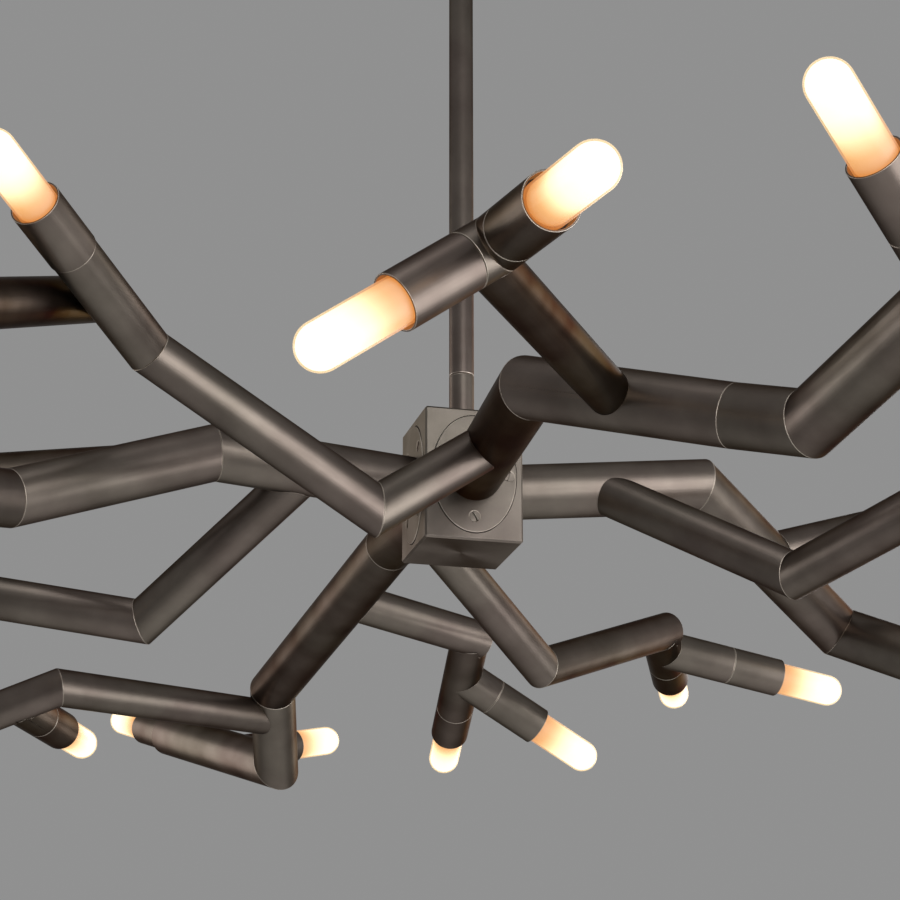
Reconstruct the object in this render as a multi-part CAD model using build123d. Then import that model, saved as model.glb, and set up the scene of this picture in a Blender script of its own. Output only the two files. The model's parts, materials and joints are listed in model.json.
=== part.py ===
from build123d import *
import os
from math import cos, radians, sin, sqrt, tan

# Branch pendant light: a square hub on a stem, four arms of straight mitred tube, and lamps at the tips.
# Millimetres, +Z up. The origin is on the stem's axis, where the ceiling bar meets the ceiling.

# Tubes of the arms
MAIN_D = 28.0            # main tube of each arm, outside
MAIN_WALL = 1.5
BRANCH_D = 22.0          # branch tube
BRANCH_WALL = 1.2
TWIN_D = 20.0            # slender branch that carries two lamps on its end
NECK_WALL = 2.2          # wall of the short neck that carries a lamp sleeve
END_CAP = 2.0            # thickness of a closed tube end
WIRE_HOLE_D = 10.0       # hole in a tube's wall where the wires pass into a branch

# Lamps
GLASS_D = 19.0           # frosted tubular bulb
GLASS_SHOWN = 44.0       # glass in front of the sleeve's mouth
GLASS_HIDDEN = 5.0       # glass inside the mouth
GLASS_WALL = 1.0
GLASS_CLEARANCE = 1.1    # gap between the glass and the sleeve round it
CAP_D = 11.6             # metal screw cap of the bulb
CAP_LENGTH = 15.0
CAP_COLLAR = 1.0         # height of the collar under the glass
CAP_COLLAR_LAP = 0.5     # how far the collar reaches under the glass's rim
CAP_CLEARANCE = 0.35
HOLDER_FIT = 0.1
HOLDER_FLOOR = 8.0
HOLDER_GAP = 1.0         # between the lampholder's rim and the cap's collar
HOLDER_WIRE_D = 4.0
SLEEVE_WALL = 0.9
SLEEVE_LEDGE = 5.0       # depth of the ledge in the sleeve that carries the lampholder
SLEEVE_SEAM = 0.4        # chamfer that shows the seam
SPIGOT_LENGTH = 5.0      # part of the sleeve that plugs into the tube behind it
SPIGOT_WALL = 1.6
SPIGOT_FIT = 0.1

# Flanges and their screws
FLANGE_H = 60.6          # height of the oval flange
FLANGE_T = 3.5
FLANGE_PROUD = 0.5       # how far the flange stands out of its pocket
FLANGE_GAP = 0.4         # dark line round the flange
FLANGE_WIRE_D = 12.0
FLANGE_EDGE = 1.35       # metal outside the side screws' heads
SCREW_HEAD_D = 5.5
SCREW_D = 3.0
SCREW_LENGTH = 10.0
SCREW_SLOT = 0.8
SCREW_SLOT_DEPTH = 0.8
SCREW_FIT = 0.05
SCREW_TO_TUBE = 0.65     # gap between the main tube and a side screw's head
SCREW_FROM_TOP = 8.3     # top screw's centre below the flange's top
SCREW_DIAGONAL = 50.0    # angle of the diagonal screws round their oval
FIRST_SLOT = 20.0        # how far the first screw's slot is turned
NEXT_SLOT = 50.0         # and how much further each of the others is

# Hub
HUB_EDGE_SIDE = 3.5      # hub beyond the flange, each side
HUB_EDGE_TOP = 3.7       # hub beyond the flange, above and below
HUB_CHAMFER = 1.0
HUB_BORE_D = 22.0        # crossing bores that hold the wiring
TERMINAL_W = 10.0
TERMINAL_L = 20.0
TERMINAL_H = 8.0
TERMINAL_GAP = 0.1

# Stem
STEM_D = 12.7
STEM_WALL = 1.2
STEM_SEAM = 0.4
STEM_FIT = 0.08
COLLAR_LENGTH = 26.0     # collar between the hub and the stem's seam
COLLAR_SHOULDER = 1.35   # ledge of the collar that stands on the hub
COLLAR_SPIGOT = 12.0
COLLAR_WALL = 1.6
COLLAR_FIT = 0.05
HUB_DROP = 450.0         # ceiling to the hub's top

# Ceiling fitting
BAR_HOLE_SPACING = 88.9  # spacing of the two ceiling screws
BAR_HOLE_D = 5.2
BAR_END_LENGTH = 11.55   # bar beyond a ceiling screw's centre
BAR_WIDTH = 22.0
BAR_T = 3.0
BAR_WIRE_D = 16.0
BAR_CLEARANCE = 3.3      # gap between the bar's corners and the canopy's wall
CANOPY_H = 45.0
CANOPY_WALL = 1.6
CANOPY_ROUND = 8.0
STUD_SPACING = 66.0
STUD_D = 4.0
STUD_FIT = 0.1
STUD_BELOW = 6.0
NUT_D = 10.0
NUT_H = 9.0
NUT_BEVEL = 2.5
BALL_WALL = 8.65         # ball's metal round the stem
BALL_ABOVE_FLOOR = 10.4  # ball's centre above the canopy's inner floor
BALL_FLAT = 9.0          # height of the ball's flat top above its centre
BALL_FIT = 0.15
SEAT_ANGLE = 40.0        # where the ball touches its seat, below its equator
SEAT_RIM = 4.5           # rim of the seat on the canopy's floor
SEAT_RIM_T = 3.0
SEAT_WALL = 3.0
SEAT_FLARE = 2.45        # how much the mouth widens below the throat
SEAT_BELOW = 4.6
SEAT_FIT = 0.1
STEM_NUT_D = 20.0
STEM_NUT_H = 6.0
STEM_ABOVE_NUT = 3.0

# Elbows of each arm, measured from the middle of its flange's outer face: X right, Y back, Z up.
# The last point of a route that ends in a lamp is the seam where the lamp's sleeve begins.
FRONT_MAIN = [(-17, -156, -11), (52, -224, -41), (74, -252, -52), (90, -375, -33)]
FRONT_END_LAMP = [(66, -379, -19)]
FRONT_LEFT = [(-67, -77, -47), (-174, -83, 18), (-216, -140, 39)]
FRONT_SIDE = [(-189, -45, 57), (-284, -226, -26)]
FRONT_TWIN = [(-91, -349, -33)]
FRONT_TWIN_LAMPS = [(-96, -350, -38), (-84, -348, -29), (-82, -363, -30)]
RIGHT_MAIN = [(96, -12, 7), (212, 88, -37), (290, -23, -101)]
RIGHT_FRONT = [(117, -86, -59), (197, -357, -29)]
RIGHT_BACK = [(295, 81, 40)]
LEFT_MAIN = [(-102, -8, 6), (-201, -24, -30), (-274, -86, -47)]
LEFT_LOW = [(-124, 70, -61), (-224, 95, -44), (-262, 68, -50)]
LEFT_BACK = [(-204, 120, 27)]
BACK_MAIN = [(-8, 99, 5), (-30, 328, -25), (-17, 381, -62), (-68, 509, -17)]
BACK_SIDE_LAMP = [(-19, 443, -39)]
BACK_RIGHT = [(87, 132, -50), (190, 211, -2)]
BACK_RIGHT_DOWN = [(206, 261, -9)]
BACK_RIGHT_ACROSS = [(238, 239, -14)]
BACK_MIDDLE = [(76, 220, -13)]
BACK_MIDDLE_DOWN = [(80, 299, -36)]
BACK_MIDDLE_ACROSS = [(95, 266, -36)]
BACK_LEFT = [(-170, 252, -49), (-264, 296, -84)]
BACK_LEFT_LAMP = [(-176, 294, -58)]

# Where each branch stands on the tube that carries it, measured along that tube from its near elbow.
FRONT_END_LAMP_AT = 111.8
FRONT_LEFT_AT = 64.0
FRONT_SIDE_AT = 40.0
FRONT_TWIN_AT = 44.0
RIGHT_FRONT_AT = 45.0
RIGHT_BACK_AT = 72.0
LEFT_LOW_AT = 54.3
LEFT_BACK_AT = 30.0
BACK_SIDE_LAMP_AT = 56.0
BACK_RIGHT_AT = 45.7
BACK_RIGHT_DOWN_AT = 128.7
BACK_RIGHT_ACROSS_AT = 32.0
BACK_MIDDLE_AT = 80.0
BACK_MIDDLE_DOWN_AT = 92.6
BACK_MIDDLE_ACROSS_AT = 48.0
BACK_LEFT_AT = 24.0
BACK_LEFT_LAMP_AT = 26.3

# Lamp sizes that follow
SLEEVE_BORE_R = GLASS_D / 2 + GLASS_CLEARANCE
NECK_D = 2 * (SLEEVE_BORE_R + SLEEVE_WALL)
NECK_BORE_R = NECK_D / 2 - NECK_WALL
HOLDER_R = SLEEVE_BORE_R - HOLDER_FIT
CAP_TOP = -GLASS_HIDDEN - CAP_COLLAR
CAP_FOOT = CAP_TOP - CAP_LENGTH
HOLDER_TOP = CAP_TOP - HOLDER_GAP
HOLDER_FOOT = CAP_FOOT - HOLDER_FLOOR
SLEEVE_FOOT = HOLDER_FOOT - SLEEVE_LEDGE

# Hub and stem sizes that follow
SCREW_SIDE = MAIN_D / 2 + SCREW_TO_TUBE + SCREW_HEAD_D / 2
SCREW_TOP = FLANGE_H / 2 - SCREW_FROM_TOP
FLANGE_W = 2 * (SCREW_SIDE + SCREW_HEAD_D / 2 + FLANGE_EDGE)
HUB_W = FLANGE_W + 2 * HUB_EDGE_SIDE
HUB_H = FLANGE_H + 2 * HUB_EDGE_TOP
HUB_MIDDLE = Vector(0, 0, -HUB_DROP - HUB_H / 2)
STEM_R = STEM_D / 2
STEM_BORE_R = STEM_R - STEM_WALL
COLLAR_SPIGOT_R = STEM_R - COLLAR_SHOULDER
COLLAR_BORE_R = STEM_BORE_R - COLLAR_FIT - COLLAR_WALL
COLLAR_TOP_Z = -HUB_DROP + COLLAR_LENGTH

# Ceiling sizes that follow
BAR_LENGTH = BAR_HOLE_SPACING + 2 * BAR_END_LENGTH
CANOPY_BORE_R = sqrt((BAR_LENGTH / 2) ** 2 + (BAR_WIDTH / 2) ** 2) + BAR_CLEARANCE
CANOPY_R = CANOPY_BORE_R + CANOPY_WALL
CANOPY_FLOOR_Z = CANOPY_WALL - CANOPY_H
BALL_R = STEM_R + BALL_WALL
BALL_Z = CANOPY_FLOOR_Z + BALL_ABOVE_FLOOR
BALL_TOP_Z = BALL_Z + BALL_FLAT
STEM_TOP_Z = BALL_TOP_Z + STEM_NUT_H + STEM_ABOVE_NUT
SEAT_LEAN = radians(SEAT_ANGLE)
SEAT_TOUCH_R = (BALL_R + BALL_FIT) * cos(SEAT_LEAN)
SEAT_TOUCH_Z = BALL_Z - (BALL_R + BALL_FIT) * sin(SEAT_LEAN)
SEAT_THROAT_R = SEAT_TOUCH_R - (SEAT_TOUCH_Z - CANOPY_FLOOR_Z) * tan(SEAT_LEAN)
SEAT_MOUTH_R = SEAT_THROAT_R + SEAT_FLARE
SEAT_R = SEAT_MOUTH_R + SEAT_WALL

MAIN = (MAIN_D, MAIN_WALL)
BRANCH = (BRANCH_D, BRANCH_WALL)
TWIN = (TWIN_D, BRANCH_WALL)
NECK = (NECK_D, NECK_WALL)
UP = Vector(0, 0, 1)
nodes = {}
lamps = []


def biggest(shape):
    """The main solid of a cut, without any crumbs that the cut leaves."""
    return max(shape.solids(), key=lambda solid: solid.volume)


def rod(start, end, radius):
    """A round bar from start to end."""
    along = end - start
    return Solid.make_cylinder(radius, along.length, Plane(origin=start, z_dir=along))


def beyond(point, normal, size):
    """A block that fills the space past a cutting plane."""
    block = Box(size, size, size, align=(Align.CENTER, Align.CENTER, Align.MIN))
    return Plane(origin=point, z_dir=normal) * block


def turned(corners):
    """A solid turned about the Z axis from corners of radius and height."""
    outline = Polyline(*[(radius, 0, height) for radius, height in corners], close=True)
    return revolve(make_face(outline), Axis.Z)


def placed(shape, origin, direction):
    """The shape moved so that its Z axis starts at origin and points along direction."""
    return biggest(Plane(origin=origin, z_dir=direction) * shape)


class Run:
    """A row of straight tubes, mitred to each other at the elbows.

    The last end is open, closed, or a socket: a closed end with a hole for a lamp sleeve's spigot.
    """

    def __init__(self, points, tube, face=None, onto=(), end="open"):
        self.points = points
        self.diameter, wall = tube
        self.cores = []
        self.tubes = []
        self.out = self.heading(len(points) - 2)
        bore_r = self.diameter / 2 - wall
        for index in range(len(points) - 1):
            along = self.heading(index) * self.diameter
            core = self.mitred(index, face)
            for parent in onto:
                for solid in parent.cores:
                    core = biggest(core - solid)
            last = index == len(points) - 2
            bore_end = points[-1] - self.out * END_CAP if last and end != "open" else points[index + 1] + along
            self.cores.append(core)
            self.tubes.append(biggest(core - rod(points[index] - along, bore_end, bore_r)))
        if end == "socket":
            through = self.out * 2 * END_CAP
            hole = rod(points[-1] - through, points[-1] + through, NECK_BORE_R)
            self.tubes[-1] = biggest(self.tubes[-1] - hole)

    def heading(self, index):
        return (self.points[index + 1] - self.points[index]).normalized()

    def at(self, index, distance):
        """A point on the axis of one tube, at a distance from its near elbow."""
        return self.points[index] + self.heading(index) * distance

    def mitred(self, index, face):
        """The solid bar of one tube, cut at both ends to meet its neighbours."""
        along = self.heading(index)
        spare = along * self.diameter
        start = self.points[index]
        end = self.points[index + 1]
        bar = rod(start - spare, end + spare, self.diameter / 2)
        block = 2 * (end - start + spare * 2).length
        first_cut = face if index == 0 and face else along
        if index > 0:
            first_cut = along + self.heading(index - 1)
        last_cut = along
        if index < len(self.points) - 2:
            last_cut = along + self.heading(index + 1)
        bar = bar - beyond(start, first_cut * -1, block)
        return biggest(bar - beyond(end, last_cut, block))

    def drill(self, point, toward):
        """The hole in the wall that lets the wires into a branch."""
        hole = rod(point, point + (toward - point).normalized() * self.diameter, WIRE_HOLE_D / 2)
        self.tubes = [biggest(tube - hole) for tube in self.tubes]

    def branch(self, index, distance, route, tube, end="open"):
        """A run of tubes that starts on this one, coped to its wall."""
        start = self.at(index, distance)
        self.drill(start, route[0])
        return Run([start] + route, tube, onto=[self], end=end)


def make_arm(name, out):
    """The seat of an arm on the hub and the lists that its pieces go into."""
    seat = HUB_MIDDLE + out * (HUB_W / 2 + FLANGE_PROUD)
    return {"name": name, "seat": seat, "out": out, "sleeves": [], "holders": []}


def route(arm, points):
    """The points of a route, moved from the arm's seat into the object's frame."""
    return [arm["seat"] + Vector(*point) for point in points]


def main_run(arm, points, end="socket"):
    """The thick tubes of an arm, cut flat where they stand on the flange."""
    return Run([arm["seat"]] + route(arm, points), MAIN, face=arm["out"], end=end)


def lamp(arm, seam, out):
    """The sleeve, lampholder and bulb that start at a seam and point out."""
    mouth = seam - out * SLEEVE_FOOT
    arm["sleeves"].append(placed(make_sleeve(), mouth, out))
    arm["holders"].append(placed(make_holder(), mouth, out))
    bulb = [placed(make_glass(), mouth, out), placed(make_cap(), mouth, out)]
    lamps.append((arm["name"], mouth, out, bulb))


def lamps_at_ends(arm, runs):
    for run in runs:
        lamp(arm, run.points[-1], run.out)


def make_sleeve():
    """The turned lamp sleeve, with the spigot that plugs into the tube behind it."""
    outer = NECK_D / 2
    spigot = NECK_BORE_R - SPIGOT_FIT
    inner = spigot - SPIGOT_WALL
    spigot_foot = SLEEVE_FOOT - SPIGOT_LENGTH
    return turned([
        (SLEEVE_BORE_R, 0), (outer, 0), (outer, SLEEVE_FOOT + SLEEVE_SEAM), (outer - SLEEVE_SEAM, SLEEVE_FOOT),
        (spigot, SLEEVE_FOOT), (spigot, spigot_foot), (inner, spigot_foot),
        (inner, HOLDER_FOOT), (SLEEVE_BORE_R, HOLDER_FOOT),
    ])


def make_holder():
    """The insulating lampholder, a cup that takes the bulb's cap."""
    bore = CAP_D / 2 + CAP_CLEARANCE
    return turned([
        (HOLDER_WIRE_D / 2, HOLDER_FOOT), (HOLDER_R, HOLDER_FOOT), (HOLDER_R, HOLDER_TOP),
        (bore, HOLDER_TOP), (bore, CAP_FOOT), (HOLDER_WIRE_D / 2, CAP_FOOT),
    ])


def make_glass():
    """The frosted glass tube of a bulb, domed at its tip and open at its foot."""
    outer = GLASS_D / 2
    inner = outer - GLASS_WALL
    spring = GLASS_SHOWN - outer
    half = sin(radians(45))
    crown = GLASS_SHOWN - GLASS_WALL
    foot = -GLASS_HIDDEN
    outside = ThreePointArc((outer, 0, spring), (outer * half, 0, spring + outer * half), (0, 0, GLASS_SHOWN))
    inside = ThreePointArc((0, 0, crown), (inner * half, 0, spring + inner * half), (inner, 0, spring))
    tip = Line((0, 0, GLASS_SHOWN), (0, 0, crown))
    sides = Polyline((inner, 0, spring), (inner, 0, foot), (outer, 0, foot), (outer, 0, spring))
    return revolve(make_face([outside, tip, inside, sides]), Axis.Z)


def make_cap():
    """The metal cap of a bulb: a screw shell, its contact end and the collar under the glass."""
    collar = GLASS_D / 2 - GLASS_WALL + CAP_COLLAR_LAP
    return turned([
        (0, CAP_FOOT), (CAP_D / 2, CAP_FOOT), (CAP_D / 2, CAP_TOP), (collar, CAP_TOP),
        (collar, -GLASS_HIDDEN), (0, -GLASS_HIDDEN),
    ])


def front_arm():
    arm = make_arm("front", Vector(0, -1, 0))
    main = main_run(arm, FRONT_MAIN, end="closed")
    end_lamp = main.branch(3, FRONT_END_LAMP_AT, route(arm, FRONT_END_LAMP), NECK)
    left = main.branch(0, FRONT_LEFT_AT, route(arm, FRONT_LEFT), BRANCH, end="socket")
    side = left.branch(2, FRONT_SIDE_AT, route(arm, FRONT_SIDE), BRANCH, end="socket")
    twin_lamps = Run(route(arm, FRONT_TWIN_LAMPS), NECK)
    twin_route = [main.at(1, FRONT_TWIN_AT)] + route(arm, FRONT_TWIN)
    twin = Run(twin_route, TWIN, onto=[main, twin_lamps])
    main.drill(twin_route[0], twin_route[1])
    twin_lamps.drill(twin_route[1], twin_route[0])
    lamps_at_ends(arm, [end_lamp, left, side, twin_lamps])
    lamp(arm, twin_lamps.points[0], twin_lamps.heading(0) * -1)
    nodes["front_arm_main"] = main.tubes + end_lamp.tubes
    nodes["front_arm_left_branch"] = left.tubes
    nodes["front_arm_side_branch"] = side.tubes
    nodes["front_arm_twin_branch"] = twin.tubes + twin_lamps.tubes
    return arm


def right_arm():
    arm = make_arm("right", Vector(1, 0, 0))
    main = main_run(arm, RIGHT_MAIN)
    front = main.branch(0, RIGHT_FRONT_AT, route(arm, RIGHT_FRONT), BRANCH, end="socket")
    back = main.branch(1, RIGHT_BACK_AT, route(arm, RIGHT_BACK), BRANCH, end="socket")
    lamps_at_ends(arm, [main, front, back])
    nodes["right_arm_main"] = main.tubes
    nodes["right_arm_front_branch"] = front.tubes
    nodes["right_arm_back_branch"] = back.tubes
    return arm


def left_arm():
    arm = make_arm("left", Vector(-1, 0, 0))
    main = main_run(arm, LEFT_MAIN)
    low = main.branch(0, LEFT_LOW_AT, route(arm, LEFT_LOW), BRANCH, end="socket")
    back = main.branch(1, LEFT_BACK_AT, route(arm, LEFT_BACK), BRANCH, end="socket")
    lamps_at_ends(arm, [main, low, back])
    nodes["left_arm_main"] = main.tubes
    nodes["left_arm_low_branch"] = low.tubes
    nodes["left_arm_back_branch"] = back.tubes
    return arm


def back_arm():
    arm = make_arm("back", Vector(0, 1, 0))
    main = main_run(arm, BACK_MAIN)
    side_lamp = main.branch(3, BACK_SIDE_LAMP_AT, route(arm, BACK_SIDE_LAMP), NECK)
    right = main.branch(0, BACK_RIGHT_AT, route(arm, BACK_RIGHT), BRANCH, end="closed")
    down = right.branch(1, BACK_RIGHT_DOWN_AT, route(arm, BACK_RIGHT_DOWN), NECK)
    across = down.branch(0, BACK_RIGHT_ACROSS_AT, route(arm, BACK_RIGHT_ACROSS), NECK)
    middle = main.branch(1, BACK_MIDDLE_AT, route(arm, BACK_MIDDLE), BRANCH, end="closed")
    middle_down = middle.branch(0, BACK_MIDDLE_DOWN_AT, route(arm, BACK_MIDDLE_DOWN), NECK)
    middle_across = middle_down.branch(0, BACK_MIDDLE_ACROSS_AT, route(arm, BACK_MIDDLE_ACROSS), NECK)
    left = main.branch(2, BACK_LEFT_AT, route(arm, BACK_LEFT), BRANCH, end="socket")
    left_lamp = left.branch(1, BACK_LEFT_LAMP_AT, route(arm, BACK_LEFT_LAMP), NECK)
    lamps_at_ends(arm, [main, side_lamp, down, across, middle_down, middle_across, left, left_lamp])
    nodes["back_arm_main"] = main.tubes + side_lamp.tubes
    nodes["back_arm_right_branch"] = right.tubes + down.tubes + across.tubes
    nodes["back_arm_middle_branch"] = middle.tubes + middle_down.tubes + middle_across.tubes
    nodes["back_arm_left_branch"] = left.tubes + left_lamp.tubes
    return arm


def screw_places(name):
    """Where the four screws sit on a flange: a cross on front and back, a diagonal on the other two."""
    if name in ("front", "back"):
        return [(0, SCREW_TOP), (SCREW_SIDE, 0), (0, -SCREW_TOP), (-SCREW_SIDE, 0)]
    across = SCREW_SIDE * cos(radians(SCREW_DIAGONAL))
    up = SCREW_TOP * sin(radians(SCREW_DIAGONAL))
    return [(across, up), (across, -up), (-across, -up), (-across, up)]


def make_screw(grow=0.0):
    """A slotted countersunk screw, its head's face at zero; grow makes the hole for it."""
    head = SCREW_HEAD_D / 2 + grow
    shank = SCREW_D / 2 + grow
    return turned([
        (0, 0), (head, 0), (shank, shank - head), (shank, -SCREW_LENGTH - grow), (0, -SCREW_LENGTH - grow),
    ])


def fit_arm(arm, hub):
    """The flange and screws of one arm, and the hub with the arm's pocket and screw holes cut."""
    out = arm["out"]
    face = Plane(origin=arm["seat"], x_dir=UP.cross(out), z_dir=out)
    plate = face * extrude(Ellipse(FLANGE_W / 2, FLANGE_H / 2), -FLANGE_T)
    pocket = extrude(Ellipse(FLANGE_W / 2 + FLANGE_GAP, FLANGE_H / 2 + FLANGE_GAP), -FLANGE_T)
    through = out * 2 * FLANGE_T
    plate = plate - rod(arm["seat"] - through, arm["seat"] + through, FLANGE_WIRE_D / 2)
    hub = hub - face * pocket
    screws = []
    for index, (across, up) in enumerate(screw_places(arm["name"])):
        spot = face * Pos(across, up, 0)
        slot = Rot(0, 0, FIRST_SLOT + NEXT_SLOT * index) * Box(SCREW_HEAD_D, SCREW_SLOT, SCREW_SLOT_DEPTH * 2)
        screws.append(biggest(spot * (make_screw() - slot)))
        hole = spot * make_screw(SCREW_FIT)
        plate = plate - hole
        hub = hub - hole
    nodes[arm["name"] + "_flange"] = [biggest(plate)]
    return hub, screws


def hub_and_flanges(arms):
    """The hub block with its crossing bores, the flanges let into it and the terminal block inside."""
    middle = Pos(*HUB_MIDDLE)
    hub = middle * chamfer(Box(HUB_W, HUB_W, HUB_H).edges(), HUB_CHAMFER)
    for side in (Vector(HUB_W / 2, 0, 0), Vector(0, HUB_W / 2, 0)):
        hub = hub - rod(HUB_MIDDLE - side, HUB_MIDDLE + side, HUB_BORE_D / 2)
    hub = hub - rod(HUB_MIDDLE, HUB_MIDDLE + UP * HUB_H, COLLAR_SPIGOT_R + COLLAR_FIT)
    screws = []
    for arm in arms:
        hub, more = fit_arm(arm, hub)
        screws += more
    nodes["hub_block"] = [biggest(hub)]
    nodes["flange_screws"] = screws
    floor = TERMINAL_GAP - sqrt((HUB_BORE_D / 2) ** 2 - (TERMINAL_W / 2) ** 2)
    terminal = Box(TERMINAL_W, TERMINAL_L, TERMINAL_H, align=(Align.CENTER, Align.CENTER, Align.MIN))
    nodes["terminal_block"] = [(middle * Pos(0, 0, floor) * terminal).solid()]


def stem_pieces():
    """The stem tube, the nut that hangs it in the ball and the collar that joins it to the hub."""
    nodes["stem"] = [turned([
        (STEM_BORE_R, COLLAR_TOP_Z), (STEM_R - STEM_SEAM, COLLAR_TOP_Z), (STEM_R, COLLAR_TOP_Z + STEM_SEAM),
        (STEM_R, STEM_TOP_Z), (STEM_BORE_R, STEM_TOP_Z),
    ]).solid()]
    foot = -HUB_DROP
    plug = STEM_BORE_R - COLLAR_FIT
    nodes["stem_collar"] = [turned([
        (COLLAR_BORE_R, foot - COLLAR_SPIGOT), (COLLAR_SPIGOT_R, foot - COLLAR_SPIGOT),
        (COLLAR_SPIGOT_R, foot), (STEM_R, foot), (STEM_R, COLLAR_TOP_Z - STEM_SEAM),
        (STEM_R - STEM_SEAM, COLLAR_TOP_Z), (plug, COLLAR_TOP_Z), (plug, COLLAR_TOP_Z + COLLAR_SPIGOT),
        (COLLAR_BORE_R, COLLAR_TOP_Z + COLLAR_SPIGOT),
    ]).solid()]
    nut = extrude(RegularPolygon(STEM_NUT_D / 2, 6), STEM_NUT_H)
    nut = nut - Cylinder(STEM_R + STEM_FIT, 4 * STEM_NUT_H)
    nodes["stem_nut"] = [biggest(Pos(0, 0, BALL_TOP_Z) * nut)]


def ceiling_fitting():
    """The ceiling bar, the canopy on its two studs, and the ball that lets the stem hang straight."""
    bar = Box(BAR_LENGTH, BAR_WIDTH, BAR_T, align=(Align.CENTER, Align.CENTER, Align.MAX))
    bar = bar - Cylinder(BAR_WIRE_D / 2, 4 * BAR_T)
    canopy = extrude(Circle(CANOPY_R), -CANOPY_H)
    canopy = fillet(canopy.edges().group_by(Axis.Z)[0], CANOPY_ROUND)
    hollow = extrude(Circle(CANOPY_BORE_R), CANOPY_FLOOR_Z)
    hollow = fillet(hollow.edges().group_by(Axis.Z)[0], CANOPY_ROUND - CANOPY_WALL)
    canopy = canopy - hollow - Cylinder(SEAT_R + SEAT_FIT, 4 * CANOPY_H)
    studs = []
    caps = []
    for side in (-1, 1):
        bar = bar - Pos(side * BAR_HOLE_SPACING / 2, 0, 0) * Cylinder(BAR_HOLE_D / 2, 4 * BAR_T)
        here = Pos(side * STUD_SPACING / 2, 0, 0)
        clear = here * Cylinder(STUD_D / 2 + STUD_FIT, 4 * CANOPY_H)
        bar = bar - clear
        canopy = canopy - clear
        studs.append((here * extrude(Circle(STUD_D / 2), -CANOPY_H - STUD_BELOW)).solid())
        caps.append(biggest(here * make_cap_nut()))
    nodes["ceiling_bar"] = [biggest(bar)]
    nodes["canopy"] = [biggest(canopy)]
    nodes["canopy_studs"] = studs
    nodes["canopy_cap_nuts"] = caps
    nodes["swivel_seat"] = [make_seat().solid()]
    ball = Sphere(BALL_R) - beyond(Vector(0, 0, BALL_FLAT), UP, 2 * BALL_R)
    ball = ball - Cylinder(STEM_R + STEM_FIT, 4 * BALL_R)
    nodes["swivel_ball"] = [biggest(Pos(0, 0, BALL_Z) * ball)]


def make_cap_nut():
    """A domed cap nut under the canopy, with the blind hole that its stud screws into."""
    foot = -CANOPY_H - NUT_H
    hole = STUD_D / 2 + STUD_FIT
    depth = -CANOPY_H - STUD_BELOW - STUD_FIT
    return turned([
        (hole, -CANOPY_H), (NUT_D / 2, -CANOPY_H), (NUT_D / 2, foot + NUT_BEVEL),
        (NUT_D / 2 - NUT_BEVEL, foot), (0, foot), (0, depth), (hole, depth),
    ])


def make_seat():
    """The turned seat in the canopy's floor: a cone for the ball and a wide mouth for the leaning stem."""
    top = CANOPY_FLOOR_Z + SEAT_RIM_T
    top_r = SEAT_TOUCH_R + (top - SEAT_TOUCH_Z) * tan(SEAT_LEAN)
    foot = CANOPY_FLOOR_Z - SEAT_BELOW
    return turned([
        (SEAT_THROAT_R, CANOPY_FLOOR_Z), (top_r, top), (SEAT_R + SEAT_RIM, top),
        (SEAT_R + SEAT_RIM, CANOPY_FLOOR_Z), (SEAT_R, CANOPY_FLOOR_Z), (SEAT_R, foot), (SEAT_MOUTH_R, foot),
    ])


def write_parts():
    """One file for each named piece or group of like pieces."""
    os.makedirs("parts", exist_ok=True)
    for count, (arm, mouth, out, solids) in enumerate(lamps, start=1):
        nodes[f"bulb_{arm}_{count:02d}"] = solids
    for name, solids in nodes.items():
        export_step(Compound(solids), f"parts/{name}.step")


arms = [front_arm(), right_arm(), left_arm(), back_arm()]
for arm in arms:
    nodes[arm["name"] + "_lamp_sleeves"] = arm["sleeves"]
    nodes[arm["name"] + "_lampholders"] = arm["holders"]
hub_and_flanges(arms)
stem_pieces()
ceiling_fitting()
write_parts()
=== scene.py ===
# %% [markdown]
# A branch pendant light. A square hub hangs on a thin stem and carries four arms of straight tube. The
# tubes are cut at a slant and joined at the elbows, and they fork until each tip ends in a lamp sleeve
# with a frosted tubular bulb.
# The solids arrive already measured, so this lesson never moves them. It softens their edges, gives them
# a brushed dark bronze finish and makes the bulbs.

# %% Load the solids, with a helper for the box of one node
import bmesh
import bpy
import json
import math
import numpy as np
from mathutils import Matrix, Vector


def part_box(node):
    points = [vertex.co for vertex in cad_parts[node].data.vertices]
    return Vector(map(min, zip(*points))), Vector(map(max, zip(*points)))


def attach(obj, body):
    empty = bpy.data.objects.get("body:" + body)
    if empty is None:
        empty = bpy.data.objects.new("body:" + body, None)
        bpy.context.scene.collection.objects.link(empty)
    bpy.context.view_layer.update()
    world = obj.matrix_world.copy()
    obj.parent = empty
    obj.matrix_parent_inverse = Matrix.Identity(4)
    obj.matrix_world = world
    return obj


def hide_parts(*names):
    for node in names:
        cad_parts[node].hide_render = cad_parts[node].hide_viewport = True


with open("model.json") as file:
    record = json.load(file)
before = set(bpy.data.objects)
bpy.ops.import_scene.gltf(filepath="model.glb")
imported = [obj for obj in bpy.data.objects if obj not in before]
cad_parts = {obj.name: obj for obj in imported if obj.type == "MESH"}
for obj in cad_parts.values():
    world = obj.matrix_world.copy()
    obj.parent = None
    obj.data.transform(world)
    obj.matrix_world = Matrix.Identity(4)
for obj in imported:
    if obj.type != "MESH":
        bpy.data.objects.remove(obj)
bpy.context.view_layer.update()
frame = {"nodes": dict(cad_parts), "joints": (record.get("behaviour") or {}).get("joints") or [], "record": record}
scene = bpy.context.scene

# %% [markdown]
# The camera stands low and to the left, and looks up at the hub through a long lens. Its place is worked
# out from the hub: a direction, a distance, and where the hub's middle falls in a square picture.
# A camera could also be aimed with a constraint, but a matrix made from three directions is easier to
# check.

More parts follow.
